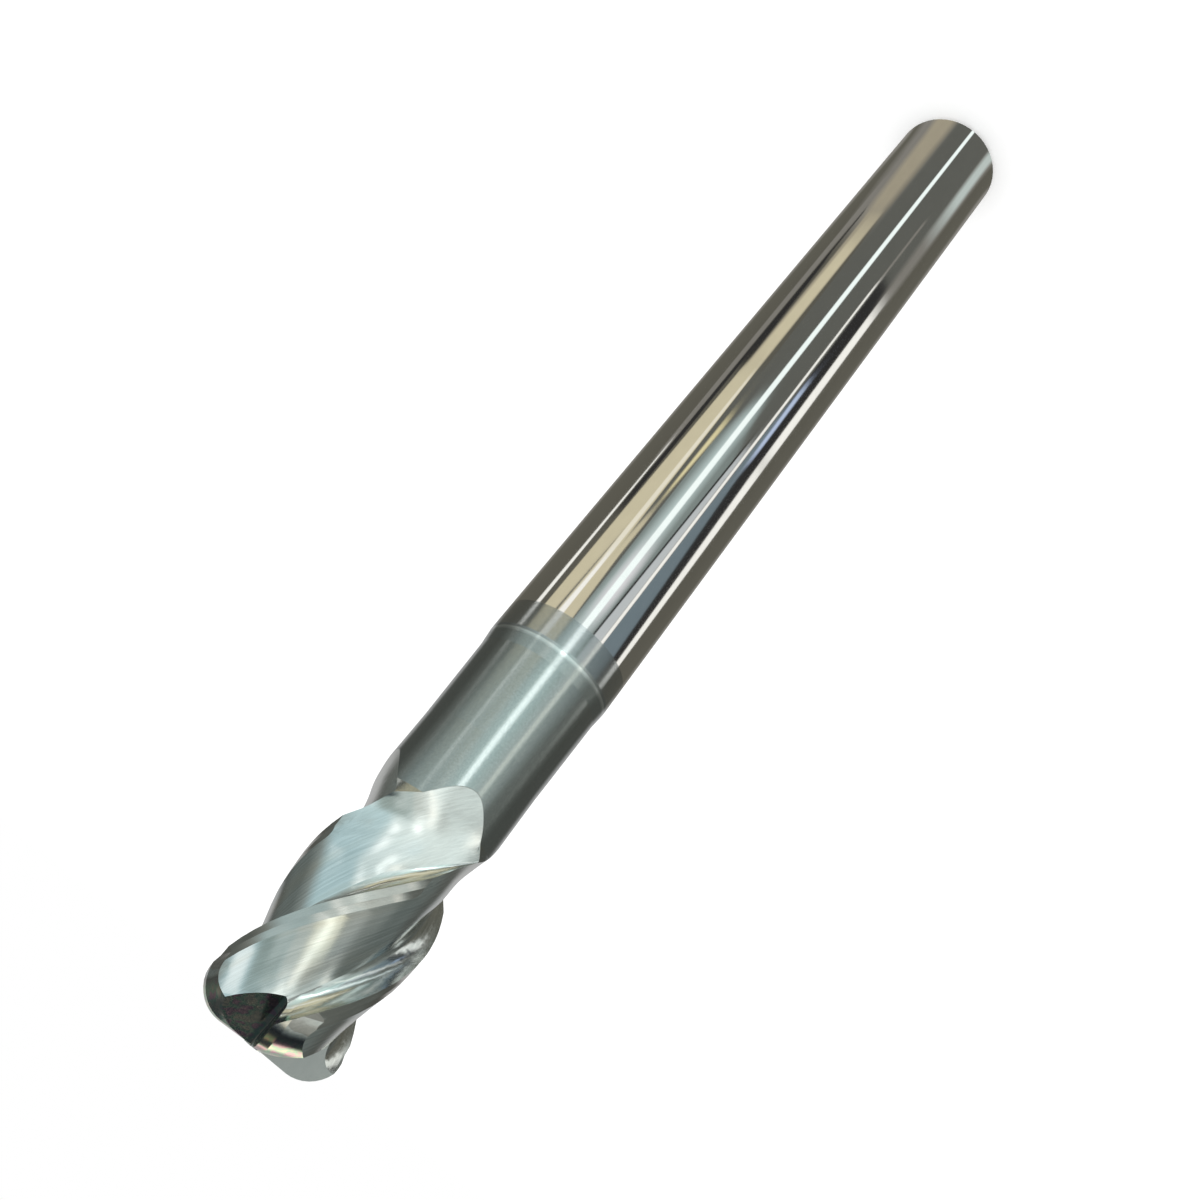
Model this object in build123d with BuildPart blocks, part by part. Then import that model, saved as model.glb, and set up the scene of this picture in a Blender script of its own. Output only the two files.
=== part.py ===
from build123d import *
from math import atan2, cos, degrees, radians, sin, tan
import os

# Corner radius end mill, four flutes, ground from one carbide blank. It stands on the end of its
# shank: the origin is the middle of that end and +Z runs along the axis to the cutting end.

# Overall sizes in millimetres
cutting_diameter = 10.0
overall_length = 100.0
shank_diameter = 10.0
shank_chamfer = 0.5
corner_radius = 2.5

# Relieved neck between the shank and the cutting head, measured back from the cutting end
reach = 30.0
neck_diameter = 9.4
step_drop = 0.15
step_length = 1.4
neck_blend_length = 6.5
head_length = 15.2
head_lead_in = 1.5

# Flutes
flute_count = 4
helix_angle = 41.0
flute_turn_at_end = 12.9
rake_angle = 6.0
gullet_radius = 1.3
land_width = 0.65
land_relief = 9.0
back_width = 0.62
back_relief = 20.0
grinding_stock = 0.02

# Crowned floor of a flute, in shares of the cutting radius, turned back from the middle of the flute
crown_share = 0.766
crown_offset_share = 0.27
crown_radius_share = 1.14
floor_reach_share = 0.84
floor_turn_back = 14.1

# Run-out behind the head, where the flute stops turning and its floor climbs out of the blank,
# flattens and slides back toward the cutting edge; shares are of the run-out's length
full_depth_length = 11.7
flute_length = 18.8
climb_share = 0.394
turning_share = 0.662
run_out_lean = 15.5
floor_flattening = 0.7
least_gullet = 0.15
land_lift = 0.3
land_run_out = 1.5

# End teeth
gash_lag = 16.0
gash_offset = 0.05
gash_depth_at_centre = 0.25
gash_angle = 40.0
gash_floor_angle = 17.0
gash_root_radius = 0.4
dish_angle = 1.5
end_land_width = 0.6
end_land_relief = 7.0
end_back_width = 2.6
end_back_relief = 20.0
corner_land_relief = 9.0
corner_back_relief = 17.0
relief_inner = 0.15
relief_fade = 15.0

# Room that a cutting shape needs outside the blank, and past the end of the run-out
clearance = 1.5
face_overrun = 3.0
run_out_margin = 0.6

radius = cutting_diameter / 2
shank_radius = shank_diameter / 2
neck_radius = neck_diameter / 2
tip = overall_length
shank_end = tip - reach
head_start = tip - head_length
blank_radius = radius + grinding_stock
flute_pitch = 360 / flute_count
turn_per_mm = degrees(tan(radians(helix_angle)) / radius)


def polar(distance, angle):
    """Point at a distance from the axis, turned by an angle from the X axis."""
    return Vector(distance * cos(radians(angle)), distance * sin(radians(angle)))


def slice_plane(height, turn, offset):
    """Level plane at a height, turned with the flute and moved sideways by an offset."""
    return Plane(origin=(offset.X, offset.Y, height), x_dir=polar(1, turn), z_dir=(0, 0, 1))


# Clearance behind the edge of the tooth ahead, one pitch further round than the flute's own edge on
# the X axis: the land, then the steeper back down to its heel
edge = Vector(radius, 0)
next_edge = polar(radius, flute_pitch)
land_direction = flute_pitch - 90 - land_relief
back_direction = flute_pitch - 90 - back_relief
land_start = next_edge + polar(land_width, land_direction)
heel = land_start + polar(back_width, back_direction)
land_overrun = next_edge - polar(clearance, land_direction)
heel_overrun = heel + polar(clearance, back_direction)
above_land = polar(2 * radius, flute_pitch)

# Flute outline in one slice: a straight face inward from the cutting edge, a rounded gullet, and a
# crowned floor that climbs to the heel of the tooth ahead
rake = polar(1, rake_angle)
face_start = edge + rake * face_overrun
outside = polar(2 * radius, flute_pitch / 2)
full_crown = crown_share * radius
run_out_length = flute_length - full_depth_length
turning_length = full_depth_length + turning_share * run_out_length
flute_steps = 24
flute_bottom = tip - flute_length - run_out_margin
flute_top = tip + clearance


def floor_circle(behind):
    """Centre, radius and direction of the crowned floor at a distance behind the cutting end."""
    run_out = max(0, (behind - full_depth_length) / run_out_length)
    direction = flute_pitch / 2 - floor_turn_back + run_out_lean * min(1, run_out / turning_share)
    crown_radius = crown_radius_share * radius / (1 - floor_flattening * min(1, run_out))
    still_aside = max(0, 1 - run_out / climb_share)
    climb = max(0, (run_out - climb_share) / (1 - climb_share))
    crown = full_crown + (neck_radius - full_crown) * climb
    centre = (polar(crown - crown_radius, direction)
              + polar(crown_offset_share * radius * still_aside, direction + 90))
    return centre, crown_radius, direction


def gullet_depth(centre, crown_radius):
    """Distance along the rake face from the cutting edge down to the floor's circle."""
    across = (edge - centre).dot(rake)
    return across - (across ** 2 - (edge - centre).length ** 2 + crown_radius ** 2) ** 0.5


full_depth = gullet_depth(*floor_circle(0)[:2])
with BuildPart() as flute:
    for step in range(flute_steps + 1):
        height = flute_bottom + (flute_top - flute_bottom) * step / flute_steps
        turn = flute_turn_at_end + turn_per_mm * (max(height, tip - turning_length) - tip)
        centre, crown_radius, direction = floor_circle(tip - height)
        depth = gullet_depth(centre, crown_radius)
        root = edge - rake * depth
        root_angle = degrees(atan2(root.Y - centre.Y, root.X - centre.X))
        floor_end = direction + degrees(floor_reach_share * radius / crown_radius)
        floor_middle = (root_angle + floor_end) / 2
        with BuildSketch(slice_plane(height, turn, Vector(0, 0))) as flute_slice:
            with BuildLine():
                Line(face_start, root)
                ThreePointArc(root, centre + polar(crown_radius, floor_middle),
                              centre + polar(crown_radius, floor_end))
                Polyline(centre + polar(crown_radius, floor_end), outside, face_start)
            make_face()
            fillet(flute_slice.vertices().sort_by_distance(root)[0],
                   gullet_radius * max(least_gullet, depth / full_depth))
    loft()

# The clearance is ground after the flutes and fades out at the back of the head.
land_steps = 16
with BuildPart() as land:
    for step in range(land_steps + 1):
        height = head_start + (flute_top - head_start) * step / land_steps
        turn = flute_turn_at_end + turn_per_mm * (height - tip)
        lift = land_lift * max(0, 1 - (height - head_start) / land_run_out) ** 2
        with BuildSketch(slice_plane(height, turn, polar(lift, turn + flute_pitch))):
            with BuildLine():
                Polyline(heel_overrun, land_start, land_overrun, above_land, heel_overrun)
            make_face()
    loft()

# Gash: a wedge across the end, upright on the face of the tooth, that opens the flute to the centre
# and makes the inner cutting edge. Drawn for a tooth whose edge lies on the X axis.
gash_reach = 2 * radius
gash_along = Vector(cos(radians(gash_angle)), 0, -sin(radians(gash_angle)))
gash_bottom = Plane(origin=(0, gash_offset, tip - gash_depth_at_centre), x_dir=(0, 1, 0), z_dir=gash_along)
with BuildPart() as gash:
    with BuildSketch(gash_bottom) as gash_section:
        with BuildLine():
            Polyline((0, gash_reach), (0, 0), (gash_reach, gash_reach * tan(radians(gash_floor_angle))),
                     (0, gash_reach))
        make_face()
        fillet(gash_section.vertices().sort_by_distance((0, 0))[0], gash_root_radius)
    extrude(amount=gash_reach)
    extrude(gash_section.sketch, amount=-gash_depth_at_centre / sin(radians(gash_angle)))

# Relief behind the end edge and round the corner, in two steps: the edge, which lies in the gash's
# upright face, is carried backward, inward and down, first slightly and then more steeply.
land_step = Vector(-tan(radians(corner_land_relief)), -1, -tan(radians(end_land_relief))) * end_land_width
back_step = Vector(-tan(radians(corner_back_relief)), -1, -tan(radians(end_back_relief))) * end_back_width
with BuildPart() as end_relief:
    for shift in (Vector(0, 0, 0), land_step, land_step + back_step):
        side = radius + shift.X
        end = tip + shift.Z
        end_inner = end - (side - corner_radius - relief_inner) * tan(radians(dish_angle))
        with BuildSketch(Plane.XZ.offset(-gash_offset - shift.Y)):
            with BuildLine():
                Line((relief_inner, end_inner), (side - corner_radius, end))
                TangentArc((side - corner_radius, end), (side, end - corner_radius), tangent=(1, 0))
                Polyline((side, end - corner_radius), (2 * radius, end - corner_radius - relief_fade),
                         (2 * radius, tip + clearance), (relief_inner, tip + clearance),
                         (relief_inner, end_inner))
            make_face()
    loft(ruled=True)

with BuildPart() as end_mill:
    with BuildSketch(Plane.XZ):
        with BuildLine():
            Polyline((0, tip), (0, 0), (shank_radius - shank_chamfer, 0), (shank_radius, shank_chamfer),
                     (shank_radius, shank_end), (shank_radius - step_drop, shank_end + step_length),
                     (neck_radius, shank_end + step_length + neck_blend_length),
                     (neck_radius, head_start - head_lead_in), (blank_radius, head_start),
                     (blank_radius, tip - corner_radius))
            TangentArc((blank_radius, tip - corner_radius), (blank_radius - corner_radius, tip),
                       tangent=(0, 1))
            Line((blank_radius - corner_radius, tip), (0, tip))
        make_face()
    revolve(axis=Axis.Z)
    with PolarLocations(0, flute_count):
        add(flute.part, mode=Mode.SUBTRACT)
        add(land.part, mode=Mode.SUBTRACT)
    with PolarLocations(0, flute_count, start_angle=flute_turn_at_end - gash_lag):
        add(gash.part, mode=Mode.SUBTRACT)
        add(end_relief.part, mode=Mode.SUBTRACT)

end_mill.part.label = "end_mill"
os.makedirs("parts", exist_ok=True)
export_step(end_mill.part, "parts/end_mill.step")
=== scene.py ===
import math

import bpy
from mathutils import Matrix, Vector

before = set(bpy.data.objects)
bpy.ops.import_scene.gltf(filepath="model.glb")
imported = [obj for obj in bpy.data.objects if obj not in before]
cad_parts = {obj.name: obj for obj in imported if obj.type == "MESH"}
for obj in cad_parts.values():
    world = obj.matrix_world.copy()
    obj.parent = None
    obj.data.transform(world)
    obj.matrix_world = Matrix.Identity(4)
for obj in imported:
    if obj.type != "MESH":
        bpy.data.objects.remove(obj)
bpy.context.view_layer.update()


# End mill
# One rod of fine-grained tungsten carbide, ground all over. The shank is polished to a mirror, a
# thin grey hard coating covers the neck and head, and the flutes are cut with a fine wheel.
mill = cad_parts["end_mill"]
carbide = bpy.data.materials.new("ground_carbide")
carbide.use_nodes = True
# The helpers below build in whichever material these two belong to
nodes, links = carbide.node_tree.nodes, carbide.node_tree.links


def feed(socket, value):
    """Link another socket to a socket, or give it a plain number, vector or colour."""
    if isinstance(value, bpy.types.NodeSocket):
        links.new(value, socket)
    elif socket.type == "RGBA":
        socket.default_value = (*value, 1)
    else:
        socket.default_value = value


def sum_of(operation, first, second=0, third=0):
    """One sum on sockets or plain numbers, and its result."""
    node = nodes.new("ShaderNodeMath")
    node.operation = operation
    for socket, value in zip(node.inputs, (first, second, third)):
        feed(socket, value)
    return node.outputs["Value"]


def vector_sum(operation, first, second=(0, 0, 0)):
    """One sum on vectors, and both its results, the Vector and the Value."""
    node = nodes.new("ShaderNodeVectorMath")
    node.operation = operation
    feed(node.inputs[0], first)
    feed(node.inputs[1], second)
    return node.outputs


def split(vector):
    """The X, Y and Z of a vector."""
    node = nodes.new("ShaderNodeSeparateXYZ")
    feed(node.inputs["Vector"], vector)
    return node.outputs


def fade(value, start, end, low=0, high=1):
    """A clamped slope from low to high while the value goes from start to end."""
    node = nodes.new("ShaderNodeMapRange")
    ends = {"Value": value, "From Min": start, "From Max": end, "To Min": low, "To Max": high}
    for name, number in ends.items():
        feed(node.inputs[name], number)
    return node.outputs["Result"]


def blend(amount, first, second):
    """Colour that goes from the first to the second with the amount."""
    node = nodes.new("ShaderNodeMix")
    node.data_type = "RGBA"
    factor, first_colour, second_colour = node.inputs[0], node.inputs[6], node.inputs[7]
    feed(factor, amount)
    feed(first_colour, first)
    feed(second_colour, second)
    mixed_colour = node.outputs[2]
    return mixed_colour


def grain(vector, per_metre, detail=3, roughness=0.6):
    """Noise between 0 and 1, with a number of grains per metre along each axis."""
    node = nodes.new("ShaderNodeTexNoise")
    feed(node.inputs["Vector"], vector_sum("MULTIPLY", vector, per_metre)["Vector"])
    feed(node.inputs["Scale"], 1)
    feed(node.inputs["Detail"], detail)
    feed(node.inputs["Roughness"], roughness)
    return node.outputs["Fac"]


# Height, distance from the axis, how squarely the surface faces away from the axis, and how far up
place = nodes.new("ShaderNodeTexCoord").outputs["Object"]
normal = nodes.new("ShaderNodeNewGeometry").outputs["Normal"]
off_axis = vector_sum("MULTIPLY", place, (1, 1, 0))["Vector"]
height = split(place)["Z"]
distance = vector_sum("LENGTH", off_axis)["Value"]
outward = vector_sum("DOT_PRODUCT", vector_sum("NORMALIZE", off_axis)["Vector"], normal)["Value"]
upward = split(normal)["Z"]

# Heights where the finish changes and how far each border is blurred, in metres
coating_start, coating_blur = 0.0678, 0.00004
step_start, step_blur = 0.0702, 0.00005
scoop_start, scoop_blur = 0.0805, 0.0001
head_start, land_blur = 0.0845, 0.0008
end_teeth_start, end_blur = 0.0955, 0.0002
# How far past the step the highlight painted along its edge fades, and past the scoops' start their
# pale grinding
glint_fade_start, glint_fade_end = 0.00012, 0.00034
scoop_fade_start, scoop_fade_end = 0.0050, 0.0080
# Least distance of the neck's facets from the axis, and how far inside it is surely a flute
neck_facets, neck_skin = 0.004688, 0.000004
# How squarely a surface faces outwards where it is round, and upwards where it is upright or an end
round_from, round_full = 0.92, 0.93
upright_full, upright_to = 0.03, 0.05
end_from, end_full = 0.42, 0.48
# Turn of the flutes in radians per metre
flute_turn = -173.9
# Strength of the thin finishes over the others, and of the highlight painted past the step
glint_strength = 0.7
tint_strength = 0.4
scoop_strength = 0.75
rainbow_strength = 0.75

# Where each finish is, from 0 to 1
coated = fade(height, coating_start - coating_blur, coating_start + coating_blur)
past_step = fade(height, step_start - step_blur, step_start + step_blur)
# Painted highlight: the colour is made brighter in a thin band just past the step, for the glint
# off its edge
step_glint_fade = fade(height, step_start + glint_fade_start, step_start + glint_fade_end,
                 glint_strength, 0)
on_painted_glint = sum_of("MULTIPLY", past_step, step_glint_fade)
still_round = sum_of("MULTIPLY", fade(distance, neck_facets - neck_skin, neck_facets),
                     fade(outward, round_from, round_full))
ground = sum_of("MULTIPLY", fade(height, scoop_start - scoop_blur, scoop_start),
                sum_of("SUBTRACT", 1, still_round))
on_land = sum_of("MULTIPLY", still_round, fade(height, head_start - land_blur, head_start))
upright = fade(sum_of("ABSOLUTE", upward), upright_full, upright_to, 1, 0)
end_or_gash = sum_of("MAXIMUM", fade(upward, end_from, end_full),
                     sum_of("MULTIPLY", upright, ground))
on_end = sum_of("MULTIPLY", fade(height, end_teeth_start - end_blur, end_teeth_start), end_or_gash)
near_scoop = fade(height, scoop_start + scoop_fade_start, scoop_start + scoop_fade_end,
                  scoop_strength, 0)
on_scoop = sum_of("MULTIPLY", ground, near_scoop)

# Marks of the wheels: rings round the shank and neck, and lines that wind with the flutes
rings = grain(place, (300, 300, 26000))
cloud = grain(place, (900, 900, 500))
speckle = grain(place, (9000, 9000, 9000), 2, 0.7)
film = grain(place, (1500, 1500, 1500), 1, 0.5)
untwist = nodes.new("ShaderNodeVectorRotate")
untwist.rotation_type = "Z_AXIS"
feed(untwist.inputs["Vector"], place)
feed(untwist.inputs["Angle"], sum_of("MULTIPLY", height, flute_turn))
along_flute = untwist.outputs["Vector"]
wheel_lines = grain(along_flute, (5500, 5500, 130), 5, 0.7)
tint = grain(along_flute, (700, 700, 160), 2, 0.5)

# Colour of each finish: the bare polish, the coating below and past the step with a highlight
# painted along the step's edge, the flutes and their paler start, the lands, and the ends of the
# teeth with their thin rainbow film
polish = blend(cloud, (0.62, 0.61, 0.59), (0.69, 0.68, 0.66))
band = blend(speckle, (0.36, 0.37, 0.365), (0.50, 0.515, 0.51))
coat = blend(speckle, (0.33, 0.35, 0.34), (0.48, 0.505, 0.49))
# Painted highlight for the glint along the step's edge
painted_step_glint = (0.80, 0.82, 0.80)
flute = blend(fade(wheel_lines, 0.3, 0.7), (0.50, 0.54, 0.53), (0.72, 0.76, 0.75))
flute = blend(fade(tint, 0.5, 0.75, 0, tint_strength), flute, (0.66, 0.62, 0.53))
scoop = blend(wheel_lines, (0.66, 0.67, 0.64), (0.90, 0.91, 0.88))
flute = blend(on_scoop, flute, scoop)
land = blend(wheel_lines, (0.42, 0.41, 0.38), (0.62, 0.61, 0.57))
rainbow = blend(fade(film, 0.38, 0.48), (0.80, 0.52, 0.58), (0.52, 0.78, 0.56))
rainbow = blend(fade(film, 0.50, 0.60), rainbow, (0.85, 0.80, 0.62))
end_face = blend(cloud, (0.26, 0.26, 0.25), (0.34, 0.335, 0.315))
end_face = blend(fade(upward, 0.5, 0.7, 0, rainbow_strength), end_face, rainbow)
colour = polish
for zone, finish in ((coated, band), (past_step, coat), (on_painted_glint, painted_step_glint),
                     (on_land, land), (ground, flute), (on_end, end_face)):
    colour = blend(zone, colour, finish)

# Roughness of each finish, which the marks vary a little
roughness = fade(rings, 0, 1, 0.05, 0.09)
for zone, marks, low, high in ((coated, rings, 0.12, 0.18), (past_step, rings, 0.16, 0.22),
                               (ground, wheel_lines, 0.13, 0.23), (on_end, cloud, 0.12, 0.22)):
    roughness = fade(zone, 0, 1, roughness, fade(marks, 0, 1, low, high))

# Fine relief of the grinding, faint on the bare polish
grinding_depth = 0.000005
relief = nodes.new("ShaderNodeBump")
feed(relief.inputs["Distance"], grinding_depth)
feed(relief.inputs["Strength"], fade(coated, 0, 1, 0.08, 0.5))
feed(relief.inputs["Height"], fade(ground, 0, 1, rings, wheel_lines))

# The wheels leave their lines round the rod, so mirrored views smear along it and stay sharp round
# it. That is a quarter turn from the direction that goes round the axis.
quarter_turn = 0.25
round_axis = nodes.new("ShaderNodeTangent")
round_axis.direction_type = "RADIAL"
round_axis.axis = "Z"
surface = nodes["Principled BSDF"]
feed(surface.inputs["Metallic"], 1)
feed(surface.inputs["Base Color"], colour)
feed(surface.inputs["Roughness"], roughness)
feed(surface.inputs["Normal"], relief.outputs["Normal"])
feed(surface.inputs["Tangent"], round_axis.outputs["Tangent"])
feed(surface.inputs["Anisotropic"], fade(ground, 0, 1, 0.9, 0.4))
feed(surface.inputs["Anisotropic Rotation"], quarter_turn)
mill.material_slots[0].material = carbide


# Floor
# One sheet of white card that the cutter stands on, wide enough to fill every view. It takes the
# cutter's soft shadow and runs out to the white surroundings.
floor_size = 8.0
floor_white = (0.9, 0.9, 0.9)
floor_roughness = 0.9
floor_glow = 0.3

bpy.ops.object.select_all(action="DESELECT")
bpy.ops.mesh.primitive_plane_add(size=floor_size, location=(0, 0, 0))
floor = bpy.context.active_object
floor.name = "floor"
card = bpy.data.materials.new("white_card")
card.use_nodes = True
nodes, links = card.node_tree.nodes, card.node_tree.links
surface = nodes["Principled BSDF"]
feed(surface.inputs["Base Color"], floor_white)
feed(surface.inputs["Roughness"], floor_roughness)
feed(surface.inputs["Specular IOR Level"], 0)
# The card looks white to the camera and in mirrored views, and its glow lights nothing
seen = nodes.new("ShaderNodeLightPath").outputs
direct = sum_of("MAXIMUM", seen["Is Camera Ray"], seen["Is Glossy Ray"])
feed(surface.inputs["Emission Color"], (1, 1, 1))
feed(surface.inputs["Emission Strength"], sum_of("MULTIPLY", direct, floor_glow))
card.cycles.emission_sampling = "NONE"
floor.data.materials.append(card)


# Studio cards round the foot
# Strips of black, grey, cream and white card laid round the foot of the cutter, out of the camera's
# sight. They glow with their own painted shades instead of being lit, and the polished shank
# mirrors them as long straight streaks.
disc_radius = 0.163
disc_height = 0.0003
circle_sides = 96


def blank_card(name, paint_name):
    """Name the sheet just made, give it a material with nothing in it yet, and return the sheet
    and the material's nodes and links."""
    sheet = bpy.context.active_object
    sheet.name = name
    material = bpy.data.materials.new(paint_name)
    material.use_nodes = True
    material.node_tree.nodes.clear()
    material.cycles.emission_sampling = "NONE"
    sheet.data.materials.append(material)
    return sheet, material.node_tree.nodes, material.node_tree.links


def stage_card(sheet, paint):
    """Give a sheet of card its paint as a glow of its own, and keep it out of everything but
    mirrored views.
    """
    glow = nodes.new("ShaderNodeEmission")
    feed(glow.inputs["Color"], paint)
    feed(nodes.new("ShaderNodeOutputMaterial").inputs["Surface"], glow.outputs["Emission"])
    sheet.data.transform(sheet.matrix_world)
    sheet.matrix_world = Matrix.Identity(4)
    sheet.visible_camera = False
    sheet.visible_diffuse = False
    sheet.visible_shadow = False
    sheet.visible_transmission = False


def spot_on_card():
    """Bearing in degrees from the camera's side, distance from the axis, and height of a spot."""
    spot = nodes.new("ShaderNodeTexCoord").outputs["Object"]
    toward_camera = vector_sum("MULTIPLY", spot, (-1, -1, 0))["Vector"]
    sides = split(toward_camera)
    spot_bearing = sum_of("DEGREES", sum_of("ARCTAN2", sides["X"], sides["Y"]))
    return spot_bearing, vector_sum("LENGTH", toward_camera)["Value"], split(spot)["Z"]


bpy.ops.object.select_all(action="DESELECT")
bpy.ops.mesh.primitive_circle_add(vertices=circle_sides, radius=disc_radius, fill_type="NGON",
                                  location=(0, 0, disc_height))
foot_cards, nodes, links = blank_card("foot_cards", "card_strips")

# A spot on the floor is mirrored at one height of the shank and one angle round it. They follow
# from the shank's radius, the camera's height and distance from the shank, and how much faster
# than the angle round the shank the line of sight turns away from facing it squarely.
shank_radius = 0.005
camera_height = 0.1005
camera_to_shank = 0.067
camera_spread = 1.06
bearing, away = spot_on_card()[:2]
from_shank = sum_of("MAXIMUM", sum_of("SUBTRACT", away, shank_radius), 0)
mirrored_at = sum_of("DIVIDE", sum_of("MULTIPLY", from_shank, camera_height),
                     sum_of("ADD", from_shank, camera_to_shank))
turn = sum_of("DIVIDE", sum_of("MULTIPLY", bearing, away),
              sum_of("MULTIPLY_ADD", away, 1 + camera_spread, -camera_spread * shank_radius))


def strip(under, shade, low, high, left, right, soft=0.35, soft_ends=0.0002):
    """A strip of card over the others between two heights of the shank that mirror it, with its
    left and right edges in degrees round the shank, each at the low and the high end."""
    past_left = sum_of("SUBTRACT", turn, fade(mirrored_at, low, high, *left))
    before_right = sum_of("SUBTRACT", fade(mirrored_at, low, high, *right), turn)
    inside = sum_of("MULTIPLY", fade(past_left, -soft, soft), fade(before_right, -soft, soft))
    ends = sum_of("MULTIPLY", fade(mirrored_at, low - soft_ends, low + soft_ends),
                  fade(mirrored_at, high - soft_ends, high + soft_ends, 1, 0))
    return blend(sum_of("MULTIPLY", inside, ends), under, shade)


black = (0.04, 0.04, 0.04)
brown = (0.15, 0.145, 0.12)
dark = (0.16, 0.165, 0.15)
grey = (0.30, 0.29, 0.265)
slate = (0.22, 0.285, 0.325)
silver = (0.72, 0.77, 0.80)
sand = (0.50, 0.455, 0.345)
cream = (0.85, 0.78, 0.56)
ivory = (1.15, 1.1, 0.92)
straw = (1.1, 1.0, 0.6)
teal = (0.30, 0.36, 0.35)
glass = (0.66, 0.80, 0.80)
pearl = (1.0, 1.0, 1.05)
ice = (0.7, 0.85, 1.15)
pale = (0.70, 0.80, 0.78)
white = (1.35, 1.35, 1.3)
cool = (1.35, 1.5, 1.5)
foot = -0.010
top = 0.0704

# The strips from the lowest card to the topmost, over brown card in front and grey card behind.
# Each row has the shade, low and high end, left and right edge, and where the edges aren't cut
# sharp, the softness of the sides and of the ends.
card_glow = blend(fade(sum_of("ABSOLUTE", turn), 70, 78), brown, grey)
for row in (
    # Dark middle of the far end
    (dark, foot, top, (-23, -11), (34, 34)),
    # Left side, from the outside in
    (grey, 0.010, 0.052, (-50, -47), (-43, -42)),
    (white, 0.050, top, (-44.5, -46.4), (-43.5, -42.2)),
    (grey, foot, 0.020, (-70, -44), (-22, -21.5), 6.0, 0.003),
    (sand, foot, 0.017, (-50, -37), (-22, -21.5), 4.0, 0.002),
    (sand, 0.0165, 0.041, (-35, -33), (-21.2, -20.5), 0.8),
    (cream, 0.020, 0.041, (-31, -32), (-21.2, -20.5), 1.2, 0.004),
    (black, 0.016, 0.058, (-41.5, -42), (-40, -37)),
    (black, 0.024, 0.040, (-40.5, -41.5), (-38, -33.5), 1.0),
    (cream, 0.040, top, (-34, -37.2), (-20.3, -9.5)),
    (dark, 0.040, 0.0595, (-20.2, -17.4), (-9.5, -13.5)),
    (cream, 0.0570, 0.0600, (-15.2, -17.4), (-12.5, -12.0), 0.6),
    (ivory, 0.041, 0.0625, (-22.5, -23), (-20.4, -18.6)),
    (white, 0.062, top, (-21.5, -24.5), (-19.0, -18.8)),
    (dark, 0.060, top, (-23.5, -27.5), (-23.0, -25.3)),
    (straw, 0.046, 0.0550, (-14.6, -15.0), (-10.4, -13.2), 0.8, 0.001),
    # Tent of pale card in the middle, brightest at its lamp, and the strips beside it
    (teal, 0.0415, 0.0465, (0.5, -9.0), (2.6, 10.0)),
    (teal, 0.0465, 0.0485, (-9.0, -10.6), (10.0, 14.2)),
    (teal, 0.0485, top, (-10.6, -9.5), (14.2, 9.3)),
    (glass, 0.0435, top, (-4.8, -6.4), (5.0, 6.6), 3.4, 0.002),
    (pearl, 0.0600, 0.0665, (-4.0, -4.0), (7.5, 7.5), 2.6, 0.0012),
    (black, 0.0470, top, (14.0, 9.3), (15.8, 11.0), 0.3),
    (silver, 0.0470, top, (15.6, 10.8), (18.4, 18.6)),
    (white, 0.0240, top, (18.8, 18.8), (20.6, 21.6)),
    (grey, 0.0140, 0.0240, (19.0, 18.9), (21.4, 21.0)),
    # Right side, from the inside out
    (black, 0.0230, 0.0405, (21.8, 23.0), (33.6, 35.0)),
    (black, 0.0400, top, (22.5, 37.0), (35.0, 42.4)),
    (slate, 0.0405, top, (21.8, 21.7), (22.4, 37.8)),
    (ice, 0.0380, 0.0475, (23.4, 25.4), (27.5, 28.6), 0.8, 0.001),
    (grey, foot, 0.0250, (27.5, 33.5), (46.5, 43.5), 3.0, 0.001),
    (pale, foot, 0.0115, (29.5, 31.5), (40.5, 42.5), 2.5, 0.004),
    (white, 0.0250, 0.0470, (34.2, 36.5), (42.6, 44.8), 0.5, 0.002),
    (white, 0.0470, top, (36.5, 43.0), (44.8, 47.3)),
    # Thin line of light down the middle
    (cool, foot, top, (-0.6, -1.6), (2.4, 3.8), 0.5),
):
    card_glow = strip(card_glow, *row)
stage_card(foot_cards, card_glow)


# Studio screen
# A closed round screen of dark card far out, with soft-edged patches of paler card on its wall and
# dark cloth over its top. All of it glows with its own painted shades instead of being lit, and the
# satin neck and the head mirror them as broad soft tones.
screen_radius = 1.5
screen_height = 1.2
screen_lift = 0.0002
head_middle = 0.09

bpy.ops.object.select_all(action="DESELECT")
bpy.ops.mesh.primitive_cylinder_add(vertices=circle_sides, radius=screen_radius,
                                    depth=screen_height, end_fill_type="NGON",
                                    location=(0, 0, screen_height / 2 + screen_lift))
round_screen, nodes, links = blank_card("round_screen", "card_patches")
bearing, away, level = spot_on_card()
rise = sum_of("DEGREES", sum_of("ARCTAN2", sum_of("SUBTRACT", level, head_middle), away))


def patch(under, shade, left, right, low, high, soft=6.0, soft_up=2.0):
    """A patch of card over the others between two bearings from the camera's side and two rises
    from the middle of the head, with its side and level edges softened, all in degrees."""
    sides = sum_of("MULTIPLY", fade(bearing, left - soft, left + soft),
                   fade(bearing, right - soft, right + soft, 1, 0))
    ends = sum_of("MULTIPLY", fade(rise, low - soft_up, low + soft_up),
                  fade(rise, high - soft_up, high + soft_up, 1, 0))
    return blend(sum_of("MULTIPLY", sides, ends), under, shade)


shade_side = (0.12, 0.125, 0.115)
shade_back = (0.5, 0.5, 0.5)
shoulder = (0.34, 0.37, 0.35)
cloth = (0.035, 0.045, 0.055)
neck_low, head_low, head_high = -60, -11, 40

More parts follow.
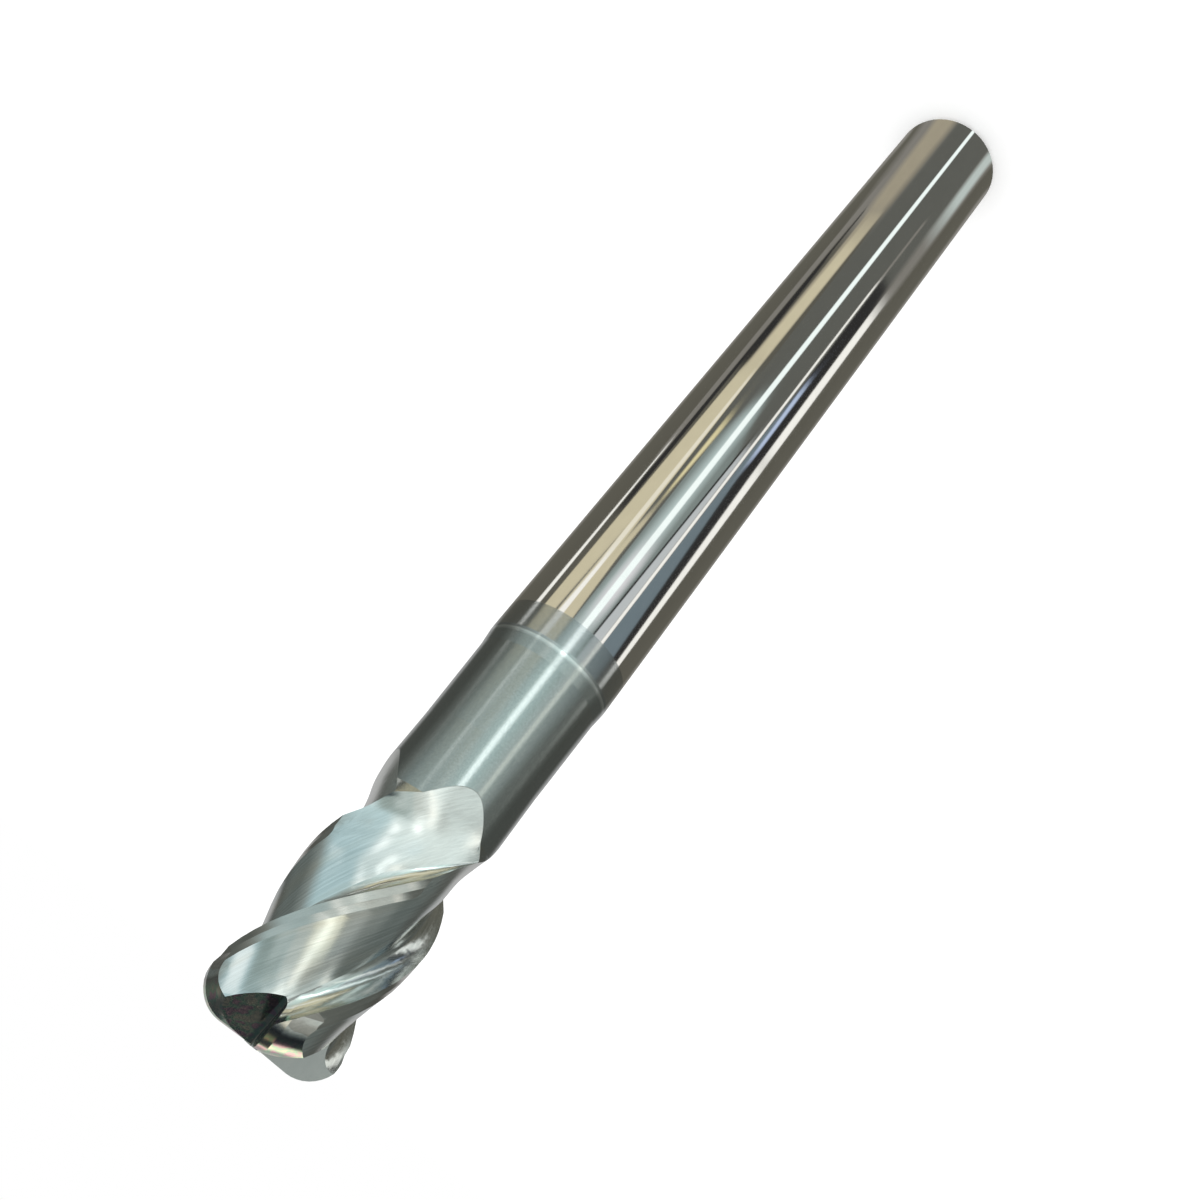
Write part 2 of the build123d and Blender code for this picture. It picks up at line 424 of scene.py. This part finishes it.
# The patches from the lowest card to the topmost, over dark card in front and grey card behind.
# Each row has the shade, left and right edge, low and high edge, and the softness of the sides
# and of the level edges.
screen_glow = blend(fade(sum_of("ABSOLUTE", bearing), 138, 150), shade_side, shade_back)
for row in (
    # Mirrored in the neck: pale toward the camera and dark at the sides, with three bright lines
    (shoulder, -88, 84, neck_low, head_low, 20),
    ((0.72, 0.84, 0.82), -52, 48, neck_low, head_low, 22),
    ((0.90, 1.16, 1.14), -17, 24, neck_low, head_low, 10),
    ((1.3, 1.4, 1.35), -47, -44, neck_low, head_low, 1),
    ((1.35, 1.45, 1.35), 34, 42, neck_low, head_low, 2),
    ((2.8, 3.1, 3.1), -2.5, 7.5, neck_low, head_low, 1),
    # Mirrored in the head: pale blue on the left, white in the middle, cream and grey on the right
    ((0.17, 0.19, 0.18), -130, 122, head_low, head_high, 8),
    (shoulder, -93, -60, head_low, head_high, 9),
    ((0.30, 0.32, 0.30), 60, 92, 13, 34, 5),
    ((0.62, 0.80, 0.84), -78, 0, head_low, head_high, 8),
    ((0.92, 1.03, 1.02), -26, 56, head_low, 18, 6),
    ((0.38, 0.46, 0.44), -45, -8, 18, 50, 4),
    ((0.72, 0.80, 0.78), -27, -10, 27.5, 36, 3),
    ((1.25, 1.32, 1.32), -72, -50, 19, 34, 3),
    ((0.66, 0.70, 0.66), -8, 12, 18, 50, 3),
    ((1.20, 1.17, 0.98), 12, 43, 18, 34, 4),
    ((0.27, 0.29, 0.28), 19, 64, 9, 17, 3, 1.5),
    ((0.50, 0.52, 0.49), 45, 66, 17, 34, 4),
    ((0.62, 0.78, 0.84), 2, 14, head_low, -6, 2),
    # Small lamps, mirrored as lines of light in the flutes
    ((1.8, 1.78, 1.70), 8, 16, 13, 18, 2),
    ((1.8, 1.78, 1.62), 15, 24, 17, 23, 2),
    ((1.9, 1.88, 1.65), 22, 33, 22, 34, 2),
    ((1.7, 1.7, 1.6), 46, 54, 1, 8, 2, 1.5),
    ((1.55, 1.62, 1.62), -24, -16, -8, 4, 2),
    ((1.7, 1.78, 1.75), -4, 5, 5, 16, 1.5),
):
    screen_glow = patch(screen_glow, *row)
# Dark cloth over the top, with a warm glow high on the right and a warm lamp behind on the right
screen_glow = blend(fade(rise, 36, 42), screen_glow, cloth)
screen_glow = patch(screen_glow, (0.34, 0.29, 0.20), 60, 108, 66, 80, 6, 3)
screen_glow = patch(screen_glow, (1.7, 1.55, 1.32), 120, 168, 38, 52, 5, 3)
stage_card(round_screen, screen_glow)


# Light
# White surroundings at a plain level, like a room lit evenly through white cloth. They light the
# cutter and the floor softly from all sides, and no lamp is added.
world = bpy.data.worlds.new("white_studio")
bpy.context.scene.world = world
world.use_nodes = True
surroundings = world.node_tree.nodes["Background"]
feed(surroundings.inputs["Color"], (1, 1, 1))
feed(surroundings.inputs["Strength"], 1)


# Camera
# The photograph's viewpoint: level with the cutting end, close in front, looking down the shank.
# The tip points down and to the left in the picture, by the two shares of its direction.
look_down = math.radians(62.37)
tip_to_right, tip_to_bottom = -0.6194, 0.7851
aim = Vector((0, 0, 0.06285))
camera_distance = 0.08115
camera_aside = 0.0002

forward = Vector((0, math.sin(look_down), -math.cos(look_down)))
toward_tip = Vector((0, math.cos(look_down), math.sin(look_down)))
sideways = Vector((-1, 0, 0))
eye = aim - forward * camera_distance - sideways * camera_aside
right = toward_tip * tip_to_right + sideways * tip_to_bottom
up = sideways * tip_to_right - toward_tip * tip_to_bottom
lens = bpy.data.cameras.new("camera")
camera = bpy.data.objects.new("camera", lens)
bpy.context.collection.objects.link(camera)
stand = Matrix((right, up, -forward)).transposed().to_4x4()
stand.translation = eye
camera.matrix_world = stand
lens.sensor_width = 36
lens.lens = 33
lens.clip_start = 0.001
lens.clip_end = 100
bpy.context.scene.camera = camera
bpy.context.scene.view_settings.view_transform = "Standard"
